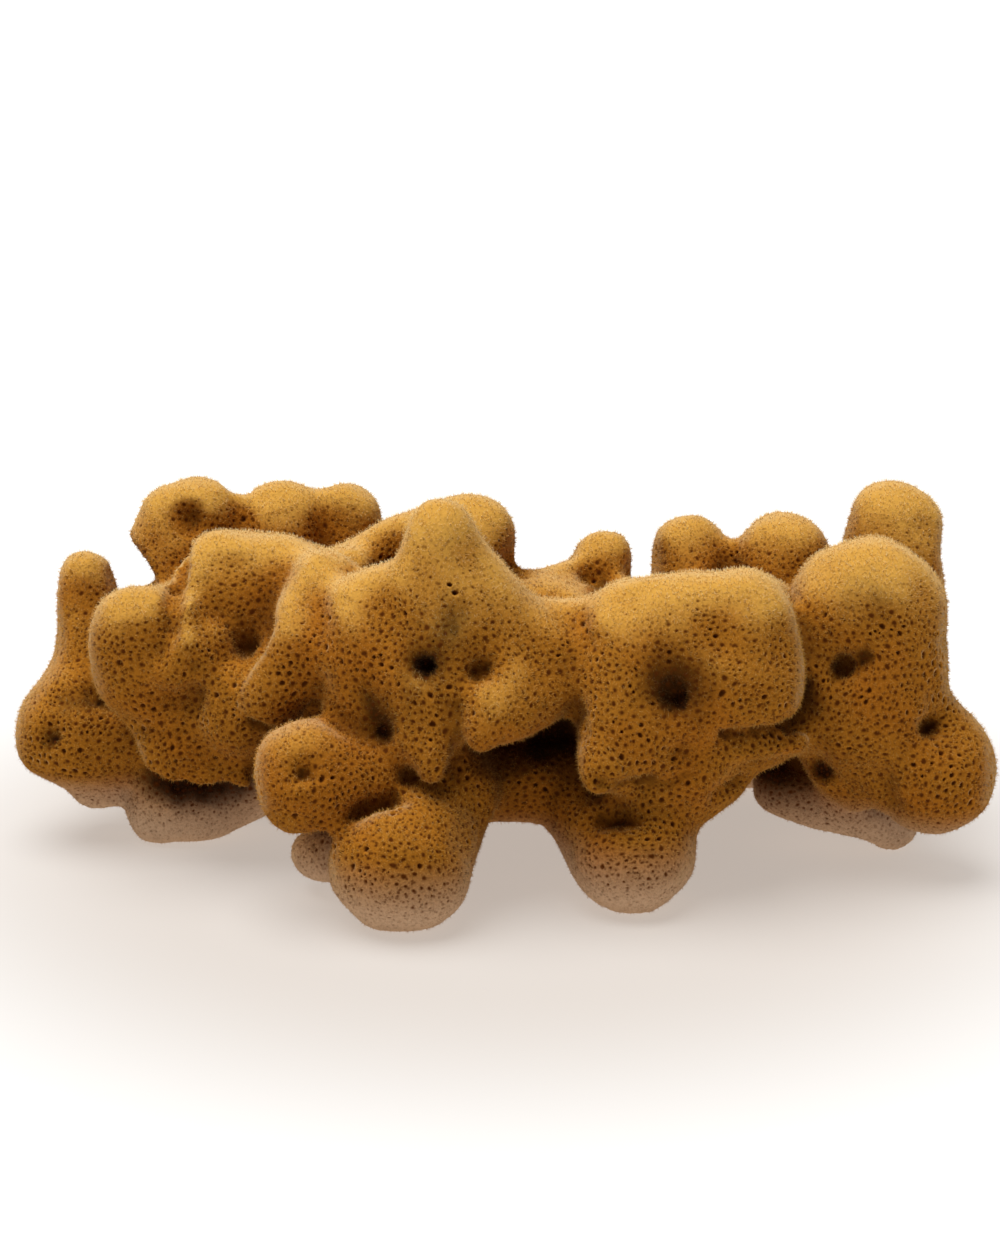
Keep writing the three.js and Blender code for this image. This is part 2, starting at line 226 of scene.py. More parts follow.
# Each mouth runs from one place to another and has a radius and a depth. Its wall is steep.
MOUTHS = [
    # the heart's two mouths, and the pit at its left
    ((-0.0152, -0.0380, 0.0535), (-0.0166, -0.0380, 0.0546), 0.0019, 0.0032),
    ((-0.0034, -0.0360, 0.0524), (-0.0036, -0.0360, 0.0534), 0.0015, 0.0016),
    ((-0.0244, -0.0380, 0.0405), (-0.0250, -0.0380, 0.0420), 0.0019, 0.0036),
    # the square lobe's great mouth, the pits in its left edge, and the groove over its shelf
    ((0.0386, -0.0420, 0.0466), (0.0394, -0.0420, 0.0474), 0.0020, 0.0056),
    ((0.0480, -0.0425, 0.0404), (0.0620, -0.0350, 0.0400), 0.0018, 0.0050),
    ((0.0173, -0.0390, 0.0450), (0.0175, -0.0395, 0.0446), 0.0014, 0.0024),
    ((0.0186, -0.0412, 0.0418), (0.0192, -0.0420, 0.0414), 0.0015, 0.0028),
    # the ragged crease along the square lobe's lower edge
    ((0.0243, -0.0450, 0.0305), (0.0256, -0.0450, 0.0302), 0.0013, 0.0034),
    ((0.0282, -0.0448, 0.0308), (0.0290, -0.0448, 0.0304), 0.0012, 0.0030),
    ((0.0312, -0.0445, 0.0312), (0.0330, -0.0442, 0.0322), 0.0013, 0.0034),
    ((0.0468, -0.0382, 0.0262), (0.0484, -0.0365, 0.0268), 0.0013, 0.0034),
    ((0.0500, -0.0350, 0.0272), (0.0516, -0.0338, 0.0276), 0.0014, 0.0036),
    # the dark slots over the front feet, and the front ball's mouth
    ((0.0215, -0.0405, 0.0225), (0.0285, -0.0425, 0.0228), 0.0026, 0.0052),
    ((-0.0262, -0.0440, 0.0250), (-0.0190, -0.0470, 0.0272), 0.0014, 0.0024),
    ((-0.0417, -0.0490, 0.0339), (-0.0410, -0.0490, 0.0347), 0.0021, 0.0034),
    # the tall lobe's mouths, and the hollow under it
    ((0.0733, -0.0245, 0.0480), (0.0738, -0.0245, 0.0486), 0.0017, 0.0030),
    ((0.0780, -0.0272, 0.0530), (0.0793, -0.0272, 0.0552), 0.0023, 0.0034),
    ((0.0946, -0.0200, 0.0344), (0.0962, -0.0200, 0.0358), 0.0024, 0.0036),
    ((0.0708, -0.0180, 0.0248), (0.0728, -0.0190, 0.0246), 0.0025, 0.0022),
    # the left mass: its mouth, its pit and the dark gap
    ((-0.0526, -0.0150, 0.0516), (-0.0530, -0.0150, 0.0534), 0.0023, 0.0056),
    ((-0.0657, -0.0218, 0.0507), (-0.0660, -0.0218, 0.0512), 0.0018, 0.0020),
    ((-0.0540, -0.0276, 0.0376), (-0.0500, -0.0276, 0.0366), 0.0019, 0.0052),
    # the left arm: the end of its groove, and its mouth
    ((-0.0935, 0.0000, 0.0358), (-0.0885, 0.0010, 0.0350), 0.0019, 0.0042),
    ((-0.1011, -0.0040, 0.0268), (-0.1009, -0.0040, 0.0276), 0.0018, 0.0042),
    # the hollow in the small finger at the back, and the deep recess under the bridge
    ((0.0214, 0.0120, 0.0610), (0.0234, 0.0120, 0.0625), 0.0042, 0.0044),
    ((0.0085, -0.0190, 0.0322), (0.0138, -0.0180, 0.0338), 0.0052, 0.0050),
]

# Each dip is given in the same way, and is wide and soft.
DIPS = [
    # the heart
    ((-0.0190, -0.0375, 0.0560), (-0.0160, -0.0375, 0.0540), 0.0058, 0.0013),
    ((-0.0034, -0.0365, 0.0530), (-0.0036, -0.0365, 0.0540), 0.0040, 0.0008),
    ((-0.0255, -0.0380, 0.0430), (-0.0285, -0.0381, 0.0500), 0.0052, 0.0015),
    ((-0.0082, -0.0396, 0.0678), (-0.0100, -0.0400, 0.0640), 0.0042, 0.0008),
    ((-0.0334, -0.0316, 0.0672), (-0.0334, -0.0316, 0.0672), 0.0028, 0.0009),
    ((-0.0085, -0.0450, 0.0480), (-0.0094, -0.0424, 0.0380), 0.0036, 0.0020),
    # the square lobe and its bridge
    ((0.0355, -0.0430, 0.0540), (0.0400, -0.0430, 0.0510), 0.0110, 0.0016),
    ((0.0172, -0.0323, 0.0621), (0.0190, -0.0362, 0.0597), 0.0034, 0.0013),
    ((0.0208, -0.0493, 0.0328), (0.0313, -0.0440, 0.0300), 0.0026, 0.0034),
    ((0.0313, -0.0430, 0.0297), (0.0405, -0.0429, 0.0322), 0.0024, 0.0030),
    ((0.0472, -0.0379, 0.0267), (0.0518, -0.0335, 0.0274), 0.0027, 0.0030),
    ((0.0550, -0.0425, 0.0505), (0.0566, -0.0415, 0.0490), 0.0026, 0.0012),
    # the feet
    ((0.0313, -0.0461, 0.0153), (0.0325, -0.0461, 0.0150), 0.0032, 0.0010),
    ((-0.0190, -0.0409, 0.0299), (-0.0126, -0.0408, 0.0301), 0.0030, 0.0016),
    # the tall lobe
    ((0.0840, -0.0265, 0.0262), (0.0872, -0.0240, 0.0200), 0.0032, 0.0022),
    ((0.0869, -0.0200, 0.0147), (0.0869, -0.0200, 0.0147), 0.0024, 0.0016),
    ((0.0941, -0.0238, 0.0442), (0.0941, -0.0238, 0.0430), 0.0034, 0.0010),
    # the left mass and arm, and the seam between the two lobes behind them
    ((-0.0607, 0.0352, 0.0720), (-0.0608, 0.0353, 0.0653), 0.0022, 0.0014),
    ((-0.0800, -0.0203, 0.0575), (-0.0795, -0.0203, 0.0565), 0.0036, 0.0010),
    ((-0.0805, -0.0137, 0.0345), (-0.0681, -0.0188, 0.0347), 0.0028, 0.0017),
    ((-0.0985, -0.0024, 0.0359), (-0.0900, 0.0014, 0.0346), 0.0058, 0.0026),
    # the lobes at the back
    ((-0.0718, 0.0340, 0.0690), (-0.0718, 0.0340, 0.0705), 0.0042, 0.0022),
    ((-0.0571, -0.0076, 0.0692), (-0.0571, -0.0076, 0.0692), 0.0028, 0.0009),
    ((-0.0551, 0.0385, 0.0715), (-0.0551, 0.0385, 0.0715), 0.0026, 0.0009),
]

# Broad faces are painted a darker brown, and hollows, gaps and shadowed undersides get painted shade:
# the place, how wide, and how dark.
DARK_PATCHES_AND_SHADE = [
    # the notch of the left mass
    ((-0.0711, -0.0180, 0.0600), 0.0060, 0.60),
    # the square lobe, the heart and the bridge between them
    ((0.0372, -0.0420, 0.0540), 0.0180, 0.68),
    ((-0.0120, -0.0380, 0.0620), 0.0170, 0.74),
    ((-0.0170, -0.0400, 0.0480), 0.0150, 0.58),
    ((-0.0270, -0.0380, 0.0450), 0.0110, 0.55),
    ((0.0140, -0.0400, 0.0560), 0.0090, 0.30),
    # the tall lobe and the bulge at its lower right
    ((0.0770, -0.0190, 0.0500), 0.0140, 0.50),
    ((0.0790, -0.0240, 0.0660), 0.0180, 0.52),
    ((0.0900, -0.0200, 0.0360), 0.0120, 0.28),
    # the left mass and the left arm
    ((-0.0630, -0.0218, 0.0440), 0.0130, 0.30),
    ((-0.0600, -0.0150, 0.0560), 0.0090, 0.35),
    ((-0.0960, -0.0040, 0.0330), 0.0100, 0.30),
    ((-0.1010, -0.0040, 0.0272), 0.0045, 0.80),
    # the shadowed undersides of the left mass's lip, of the shelf and of the tall lobe
    ((-0.0795, -0.0018, 0.0165), 0.0080, 0.90),
    ((-0.0726, -0.0029, 0.0155), 0.0095, 0.95),
    ((-0.0660, -0.0022, 0.0150), 0.0095, 0.95),
    ((-0.0593, 0.0010, 0.0160), 0.0095, 0.90),
    ((0.0640, -0.0035, 0.0195), 0.0090, 0.90),
    ((0.0590, -0.0035, 0.0205), 0.0090, 0.80),
    ((0.0717, -0.0180, 0.0248), 0.0055, 1.00),
    # the left mass's dark gap, the front ball's mouth and the seam at the back left
    ((-0.0518, -0.0265, 0.0370), 0.0060, 0.80),
    ((-0.0410, -0.0480, 0.0340), 0.0065, 0.45),
    ((-0.0710, 0.0340, 0.0700), 0.0080, 0.40),
    # the arch in the middle, and the pit of the right front foot
    ((0.0000, -0.0250, 0.0290), 0.0170, 0.50),
    ((0.0150, -0.0250, 0.0290), 0.0120, 0.45),
    ((0.0330, -0.0460, 0.0150), 0.0080, 0.25),
]


def mesh_from(name, points, *face_sets):
    """A mesh from an array of points and arrays of faces, each array with one number of corners."""
    corners = np.concatenate([faces.ravel() for faces in face_sets])
    sides = np.concatenate([np.full(len(faces), faces.shape[1]) for faces in face_sets])
    mesh = bpy.data.meshes.new(name)
    mesh.vertices.add(len(points))
    mesh.vertices.foreach_set("co", points.astype(np.float32).ravel())
    mesh.loops.add(len(corners))
    mesh.loops.foreach_set("vertex_index", corners.astype(np.int32))
    mesh.polygons.add(len(sides))
    mesh.polygons.foreach_set("loop_start", (np.cumsum(sides) - sides).astype(np.int32))
    mesh.update(calc_edges=True)
    return mesh


def after(mesh, *steps):
    """A copy of the mesh after modifiers, each step a kind and its settings."""
    thing = placed("working", mesh)
    for kind, settings in steps:
        modifier = thing.modifiers.new(kind.lower(), kind)
        for name, value in settings.items():
            setattr(modifier, name, value)
    graph = bpy.context.evaluated_depsgraph_get()
    result = bpy.data.meshes.new_from_object(thing.evaluated_get(graph))
    bpy.data.objects.remove(thing)
    return result


def read(collection, field, width=1, kind=np.float32):
    """One field of all of a mesh's corners, edges or faces as an array."""
    values = np.empty(len(collection) * width, kind)
    collection.foreach_get(field, values)
    return values.reshape(-1, width) if width > 1 else values


def spread(values, edges, rounds, share=0.5):
    """Evens values out along a mesh's edges."""
    ends = np.concatenate([edges, edges[:, ::-1]])
    count = np.bincount(ends[:, 0], minlength=len(values))[:, None]
    values = values.astype(float)
    for _ in range(rounds):
        total = np.stack([
            np.bincount(ends[:, 0], weights=column[ends[:, 1]], minlength=len(values))
            for column in values.T
        ], axis=1)
        values = values + share * (total / count - values)
    return values


def waves(points, length, turn):
    """A smooth wavy number between about -1 and 1 at each point."""
    p = points / length * 2 * math.pi
    return (
        np.sin(p[:, 0] + 0.6 * p[:, 1] + turn) * np.sin(p[:, 1] - 0.5 * p[:, 2] + 2 * turn)
        + np.sin(p[:, 2] + 0.7 * p[:, 0] + 3 * turn) * np.sin(0.8 * p[:, 1] + p[:, 2] + turn)
    ) / 2


def ease(values):
    """A smooth step from 0 to 1 while the values go from 0 to 1."""
    values = np.clip(values, 0, 1)
    return values * values * (3 - 2 * values)


def move(mesh, points):
    """Moves a mesh's corners to the points. Returns the outward way at each."""
    mesh.vertices.foreach_set("co", points.astype(np.float32).ravel())
    mesh.update()
    return read(mesh.vertices, "normal", 3).astype(float)


def fine_skin(mesh, voxel):
    """The mesh's outer skin in even small triangles, with its edges and points."""
    skin = after(mesh, ("REMESH", {"mode": "VOXEL", "voxel_size": voxel}), ("TRIANGULATE", {}))
    return skin, read(skin.edges, "vertices", 2, np.int32), read(skin.vertices, "co", 3).astype(float)


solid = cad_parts["sponge"].data.copy()
whole = bmesh.new()
whole.from_mesh(solid)
bmesh.ops.remove_doubles(whole, verts=whole.verts, dist=WELD)
whole.to_mesh(solid)
rounded, edges, faceted = fine_skin(solid, ROUNDING_VOXEL)
points = spread(faceted, edges, ROUNDING)
points += spread(faceted - points, edges, ROUNDING_REACH)
points += move(rounded, points) * SWELLING
move(rounded, points)


def string_beads(shape, rows):
    """Adds each row's beads to the shape, near enough to one another to make one bar."""
    for start, start_radius, end, end_radius in rows:
        start, end = Vector(start), Vector(end)
        count = max(2, round((end - start).length / BEAD_STEP) + 1)
        for along in np.linspace(0, 1, count):
            bmesh.ops.create_icosphere(
                shape, subdivisions=BEAD_FINENESS,
                radius=start_radius + (end_radius - start_radius) * along,
                matrix=Matrix.Translation(start.lerp(end, along)),
            )


whole.clear()
string_beads(whole, CUTS)
cut_beads = bpy.data.meshes.new("cut_beads")
whole.to_mesh(cut_beads)
cutter = placed("cutter", fine_skin(cut_beads, SKIN_VOXEL)[0])
carved = after(rounded, ("BOOLEAN", {
    "operation": "DIFFERENCE", "solver": "MANIFOLD", "object": cutter,
}))
bpy.data.objects.remove(cutter)

whole.clear()
whole.from_mesh(carved)
string_beads(whole, KNOBS)
knobbly = bpy.data.meshes.new("knobbly")
whole.to_mesh(knobbly)
whole.free()
skin_mesh, skin_edges, skin = fine_skin(knobbly, SKIN_VOXEL)
skin = spread(skin, skin_edges, SKIN_SMOOTHING)
outwards = move(skin_mesh, skin)
skin_faces = read(skin_mesh.loops, "vertex_index", 1, np.int32).reshape(-1, 3)

# The broad form is the same skin evened out far and wide. Where it lies outside the skin is a valley,
# and the way it faces is the way out of a hollow.
BROAD_ROUNDS = 160
VALLEY_DEPTH = 0.0022
broad = spread(skin, skin_edges, BROAD_ROUNDS)
broad_way = move(skin_mesh, broad)
skin_valley = np.clip(np.einsum("ij,ij->i", broad - skin, outwards) / VALLEY_DEPTH, -1, 1)

# The hollows are sunk with ragged edges, and the valleys between them get a crease.
MOUTH_STEEPNESS = 1.5
DIP_STEEPNESS = 1.0
HOLLOW_EDGE = 0.0036
HOLLOW_RAGGEDNESS = 0.4
HOLLOW_TURN = 1e4
HOLLOW_THICKNESS = 0.002
WAY_SPAN = 1.5
WAY_OF_SKIN = 0.6
SHADE_DEPTH = 0.0044
SHADE_MOST = 1.3
CREASE_DEPTH = 0.0014
CREASE_GAIN = 1.6
CREASE_START = 0.3
move(skin_mesh, skin)
skin_tree = BVHTree.FromPolygons(skin.tolist(), skin_faces.tolist())
sunk = np.zeros_like(skin)
hollows = [(MOUTH_STEEPNESS, row) for row in MOUTHS] + [(DIP_STEEPNESS, row) for row in DIPS]
for steepness, (start, end, radius, depth) in hollows:
    start, end = (np.array(skin_tree.find_nearest(Vector(p))[0]) for p in (start, end))
    line = end - start
    along = np.clip((skin - start) @ line / max(line @ line, 1e-12), 0, 1)
    offset = skin - start - along[:, None] * line
    near = np.linalg.norm(offset, axis=1) < radius * WAY_SPAN
    way = broad_way[near].mean(axis=0) + WAY_OF_SKIN * outwards[near].mean(axis=0)
    way /= np.linalg.norm(way)
    flat = np.linalg.norm(offset - (offset @ way)[:, None] * way, axis=1)
    ragged = radius * (1 + HOLLOW_RAGGEDNESS * waves(skin, HOLLOW_EDGE, radius * HOLLOW_TURN))
    inside = ease(steepness * (1 - flat / ragged)) * (np.abs(offset @ way) < radius + HOLLOW_THICKNESS)
    sunk -= (inside * depth)[:, None] * way
# How deep the skin is sunk there is kept as painted shade for the mouths and dips.
skin_shade = np.clip(np.linalg.norm(sunk, axis=1) / SHADE_DEPTH, 0, SHADE_MOST)
crease = ease(CREASE_GAIN * skin_valley - CREASE_START)
skin = skin + sunk - outwards * (PILE_SINK + CREASE_DEPTH * crease)[:, None]
skin = spread(skin, skin_edges, 1)
skin[:, 2] = np.maximum(skin[:, 2], FLOOR_CLEARANCE)
outwards = move(skin_mesh, skin)
skin_tree = BVHTree.FromPolygons(skin.tolist(), skin_faces.tolist())

# Cells are laid out by thinning a shaken copy of the skin, whose corners then fall evenly and at random.
CELL_COUNT = 28300
CELL_SHAKE = 0.0003
CELL_EVENING = 4
shake = seeds.uniform(-CELL_SHAKE, CELL_SHAKE, len(skin))[:, None]
move(skin_mesh, skin + outwards * shake)
thinned = after(skin_mesh, ("DECIMATE", {"ratio": 2 * CELL_COUNT / len(skin_faces)}))
cell_edges = read(thinned.edges, "vertices", 2, np.int32)
centres = read(thinned.vertices, "co", 3)
for _ in range(CELL_EVENING):
    centres = spread(centres, cell_edges, 1)
    centres = np.array([skin_tree.find_nearest(Vector(p))[0] for p in centres])
move(thinned, centres)

turning = bpy.data.node_groups.new("cells_from_corners", "GeometryNodeTree")
for way in ("INPUT", "OUTPUT"):
    turning.interface.new_socket("Geometry", in_out=way, socket_type="NodeSocketGeometry")
turning_in = turning.nodes.new("NodeGroupInput")
turning_out = turning.nodes.new("NodeGroupOutput")
dual = turning.nodes.new("GeometryNodeDualMesh")
turning.links.new(turning_in.outputs[0], dual.inputs[0])
turning.links.new(dual.outputs[0], turning_out.inputs[0])
cells = after(thinned, ("NODES", {"node_group": turning}))

corner = read(cells.vertices, "co", 3).astype(float)
cell_start = read(cells.polygons, "loop_start", 1, np.int32)
cell_sides = read(cells.polygons, "loop_total", 1, np.int32)
cell_corner = read(cells.loops, "vertex_index", 1, np.int32)
cell_normal = read(cells.polygons, "normal", 3).astype(float)
cell_number = np.arange(len(cell_start))
cell_of = np.repeat(cell_number, cell_sides)
cell_middle = np.stack([
    np.bincount(cell_of, weights=corner[cell_corner, axis]) for axis in range(3)
], axis=1) / cell_sides[:, None]
loop_next = np.arange(len(cell_corner)) + 1
loop_next[cell_start + cell_sides - 1] = cell_start


def nearest_skin(places):
    """The number of a skin corner near each place."""
    return np.array([skin_faces[skin_tree.find_nearest(Vector(p))[2], 0] for p in places])


# Pores are widest on the faces of the lobes, and smaller on their tops and on the feet.
# The widest pores get a rim of their own. A few pits stand alone and are wider still.
RIMMED_PORES = 2200
PORE_DEPTH = 0.0013
DIMPLE_DEPTH = 0.0006
RIM_WIDTH = 0.52
RIM_WIDTH_SHUT = 0.6
RIM_WIDTH_OPENNESS = 0.35
RIM_WIDTH_LIMITS = (0.3, 0.75)
RIM_WIDTH_CHANCE = (0.85, 1.15)
RIM_DEPTH = 0.00018
LONE_PITS = [
    (-0.0101, -0.0380, 0.0729), (-0.0095, -0.0380, 0.0722), (0.0505, -0.0440, 0.0503),
    (0.0560, -0.0425, 0.0500), (0.0208, -0.0497, 0.0330), (-0.0441, -0.0510, 0.0263),
    (0.0869, -0.0205, 0.0147), (0.0175, -0.0328, 0.0621), (0.0184, -0.0344, 0.0612),
    (0.0190, -0.0366, 0.0590),
]
LONE_PIT_OPENNESS = 1.4
cell_height = cell_middle[:, 2]
cell_skin = nearest_skin(cell_middle)
valley_shade = skin_valley[cell_skin]
shade = skin_shade[cell_skin]

# The crowns are what the open sky sees most of: the tops and the outer edges of the lobes.
SKY_RAYS = 24
SKY_REACH = 0.20
SKY_LIFT = 0.0012
SKY_GRAZING = 0.05
SKY_EVENNESS = 0.3
sky_turn = math.pi * (3 - math.sqrt(5))
sky_ways = []
for k in range(SKY_RAYS):
    level = (k + 0.5) / SKY_RAYS
    aside = math.sqrt(level)
    sky_ways.append(Vector((
        math.cos(k * sky_turn) * aside, math.sin(k * sky_turn) * aside, math.sqrt(1 - level),
    )))
sky = np.zeros(len(cell_middle))
for k, (spot, normal) in enumerate(zip(cell_middle, cell_normal)):
    normal = Vector(normal)
    start = Vector(spot) + normal * SKY_LIFT
    for way in sky_ways:
        if normal.dot(way) > SKY_GRAZING and skin_tree.ray_cast(start, way, SKY_REACH)[0] is None:
            sky[k] += (normal.dot(way) + SKY_EVENNESS) / SKY_RAYS


def rise(values, start, span):
    """From 0 at the start to 1 a span further on. A span below zero leads downwards."""
    return np.clip((values - start) / span, 0, 1)


# A crown sees much sky, is high up and isn't in a valley. Its pale gold is partly the sponge's own paler
# tops and partly painted skylight. What sees little sky counts as a valley, less so on undersides, and
# is painted in shade.
CROWN_SKY = 0.46
CROWN_SKY_SPAN = 0.66
CROWN_TOP = 0.30
CROWN_VALLEY = 0.50
LOWEST_CROWN = 0.20
CROWN_RISE = (0.030, 0.045)
TOP_RISE = (0.058, 0.030)
VALLEY_SKY = (0.30, -0.26)
UNDERSIDE = 0.8
UNDERSIDE_LIMITS = (0.45, 1.1)
top = rise(cell_height, *TOP_RISE)
crown = ease((sky - CROWN_SKY) / CROWN_SKY_SPAN + CROWN_TOP * top - CROWN_VALLEY * valley_shade)
crown = crown * (LOWEST_CROWN + (1 - LOWEST_CROWN) * rise(cell_height, *CROWN_RISE))
turned_up = np.clip(1 + UNDERSIDE * cell_normal[:, 2], *UNDERSIDE_LIMITS)
valley_shade = np.maximum(valley_shade, turned_up * ease(rise(sky, *VALLEY_SKY)))

DARKENING_EDGE = 0.007
DARKENING_RAGGEDNESS = 0.4
DARKENING_TURN = 1e3
# Each place adds painted shade, or a darker brown on a broad face, with a ragged edge.
for place, width, darkness in DARK_PATCHES_AND_SHADE:
    far = np.linalg.norm(cell_middle - np.array(place), axis=1)
    ragged = 1 + DARKENING_RAGGEDNESS * waves(cell_middle, DARKENING_EDGE, width * DARKENING_TURN)
    shade = shade + darkness * ease(1 - far / width) * ragged

# How open each pore is: nearly shut at 0, a wide pit from 1 up.
OPENNESS = 0.98
SHUT_ON_CROWNS = 0.60
SHUT_ON_FEET = 0.40
SHUT_IN_HOLLOWS = 0.5
FOOT_FALL = (0.018, -0.012)
OPEN_WAVES = ((0.031, 0.7), (0.011, 2.2))
OPEN_WAVES_SHARE = 0.10
OPEN_CHANCE = 0.22
OPEN_LIMITS = (0.08, 1.15)
SOLE_HEIGHT = 0.0015
HOLLOW_GAIN = 2
HOLLOW_START = 0.6
openness = OPENNESS - SHUT_ON_CROWNS * crown - SHUT_ON_FEET * rise(cell_height, *FOOT_FALL)
for length, turn in OPEN_WAVES:
    openness += OPEN_WAVES_SHARE * waves(cell_middle, length, turn)
openness += OPEN_CHANCE * seeds.uniform(-1, 1, len(cell_start))
openness = np.clip(openness, *OPEN_LIMITS)
openness[cell_height < SOLE_HEIGHT] = 0
in_hollow = np.clip(HOLLOW_GAIN * skin_shade[cell_skin] - HOLLOW_START, 0, 1)
openness *= 1 - SHUT_IN_HOLLOWS * in_hollow
for place in LONE_PITS:
    openness[np.argmin(np.linalg.norm(cell_middle - np.array(place), axis=1))] = LONE_PIT_OPENNESS
rimmed = np.zeros(len(cell_start), bool)
rimmed[np.argsort(-openness)[:RIMMED_PORES]] = True

first_middle = len(corner)
middle = cell_middle - cell_normal * (np.where(rimmed, PORE_DEPTH, DIMPLE_DEPTH) * openness)[:, None]
rim_loop = np.flatnonzero(rimmed[cell_of])
rim_of_loop = np.full(len(cell_corner), -1)
first_rim = first_middle + len(middle)
rim_of_loop[rim_loop] = first_rim + np.arange(len(rim_loop))
rim_cell = cell_of[rim_loop]
rim_width = RIM_WIDTH * (RIM_WIDTH_SHUT + RIM_WIDTH_OPENNESS * openness[rim_cell])
rim_width = np.clip(rim_width, *RIM_WIDTH_LIMITS) * seeds.uniform(*RIM_WIDTH_CHANCE, len(rim_loop))
rim = cell_middle[rim_cell] + (corner[cell_corner[rim_loop]] - cell_middle[rim_cell]) * rim_width[:, None]
rim -= cell_normal[rim_cell] * RIM_DEPTH
body_points = np.concatenate([corner, middle, rim])

plain_loop = np.flatnonzero(~rimmed[cell_of])
dimples = np.stack([
    cell_corner[plain_loop], cell_corner[loop_next[plain_loop]], first_middle + cell_of[plain_loop],
], axis=1)
rim_bands = np.stack([
    cell_corner[rim_loop], cell_corner[loop_next[rim_loop]],
    rim_of_loop[loop_next[rim_loop]], rim_of_loop[rim_loop],
], axis=1)
pits = np.stack([
    rim_of_loop[rim_loop], rim_of_loop[loop_next[rim_loop]], first_middle + rim_cell,
], axis=1)
body_mesh = mesh_from("sponge_body", body_points, dimples, rim_bands, pits)
body_mesh.shade_smooth()
body = placed("sponge_body", body_mesh)


def paint(mesh, name, values):
    """Gives the mesh a number at each corner, for the material to read."""
    mesh.attributes.new(name, "FLOAT", "POINT").data.foreach_set("value", values.astype(np.float32))


# Each pore's pit is painted dark by how open it is: painted shade in the pores.
PIT_AT_RIMMED = 1.25
PIT_AT_RIM = 0.42
paint(body_mesh, "pit_shade", np.concatenate([
    np.zeros(len(corner)), np.where(rimmed, PIT_AT_RIMMED, 1.0) * openness,
    PIT_AT_RIM * openness[rim_cell],
]))
cells_at_corner = np.bincount(cell_corner, minlength=len(corner))
cell_marks = {"valley_shade": valley_shade, "crown": crown, "shade": shade}
for name, values in cell_marks.items():
    at_corner = np.bincount(cell_corner, weights=values[cell_of], minlength=len(corner)) / cells_at_corner
    paint(body_mesh, name, np.concatenate([at_corner, values, values[rim_cell]]))

# The sponge's colour: pale gold on the crowns of the lobes, partly their own paler tops and partly
# painted skylight; brown ochre with rusty patches on their faces; painted shade in the valleys and
# hollows; and pale, slightly pink, on the feet, partly their own colour and partly painted light bounced
# up from the floor.
PATCH_SCALE = 42
PATCH_RAMP = (0.45, 0.66)
CROWN_RAMP = (0.0, 1.0)
VALLEY_SHADE_RAMP = (0.10, 1.1)
FOOT_RAMP = (0.020, 0.003)
SHADE_RAMP = (0.12, 1.3)
tone = bpy.data.node_groups.new("sponge_tone", "ShaderNodeTree")
for name in ("Crown_and_skylight", "Face", "Rust", "Valley_shade", "Hollow_shade", "Foot_and_bounce"):
    tone.interface.new_socket(name, in_out="INPUT", socket_type="NodeSocketColor")
tone.interface.new_socket("Color", in_out="OUTPUT", socket_type="NodeSocketColor")


def painted(tree, name):
    """The number that a mesh was given under this name."""
    return add(tree, "ShaderNodeAttribute", attribute_name=name).outputs["Fac"]


tone_in = add(tone, "NodeGroupInput").outputs
tone_out = add(tone, "NodeGroupOutput")
place = add(tone, "ShaderNodeTexCoord").outputs["Object"]
above_floor = add(tone, "ShaderNodeSeparateXYZ", {"Vector": place}).outputs["Z"]
patches = add(
    tone, "ShaderNodeTexNoise", {"Vector": place, "Scale": PATCH_SCALE, "Detail": 3},
).outputs["Fac"]
colour = blend(tone, ramp(tone, patches, *PATCH_RAMP), tone_in["Face"], tone_in["Rust"])
# Pale gold on the crowns: partly the sponge's own paler tops, partly painted skylight.
colour = blend(tone, ramp(tone, painted(tone, "crown"), *CROWN_RAMP), colour, tone_in["Crown_and_skylight"])
# Painted shade in the valleys and where little sky is seen.
colour = blend(tone, ramp(tone, painted(tone, "valley_shade"), *VALLEY_SHADE_RAMP), colour, tone_in["Valley_shade"])
# Paler and pinker near the floor: partly the feet's own colour, partly painted light bounced from the
# floor.
colour = blend(tone, ramp(tone, above_floor, *FOOT_RAMP), colour, tone_in["Foot_and_bounce"])
# Painted shade in the hollows and shadowed places, and the darker patches on the broad faces.
colour = blend(tone, ramp(tone, painted(tone, "shade"), *SHADE_RAMP), colour, tone_in["Hollow_shade"])
tone.links.new(colour, tone_out.inputs["Color"])

BODY_TONES = {
    "Crown_and_skylight": (0.66, 0.35, 0.064, 1),
    "Face": (0.41, 0.158, 0.014, 1),
    "Rust": (0.41, 0.142, 0.011, 1),
    "Valley_shade": (0.17, 0.058, 0.006, 1),
    "Hollow_shade": (0.022, 0.006, 0.0015, 1),
    "Foot_and_bounce": (0.64, 0.43, 0.27, 1),
}


def sponge_stuff(name, tones):
    """A matt material in the sponge's tones. Returns it with its tree, shader and colour."""
    stuff = bpy.data.materials.new(name)
    stuff.use_nodes = True
    tree = stuff.node_tree
    shader = tree.nodes["Principled BSDF"]
    mixed = add(tree, "ShaderNodeGroup", node_tree=tone)
    for tone_name, value in tones.items():
        mixed.inputs[tone_name].default_value = value
    return stuff, tree, shader, mixed.outputs["Color"]


def times(tree, first, second):
    """The product of two numbers or masks."""
    return add(tree, "ShaderNodeMath", {0: first, 1: second}, operation="MULTIPLY").outputs[0]


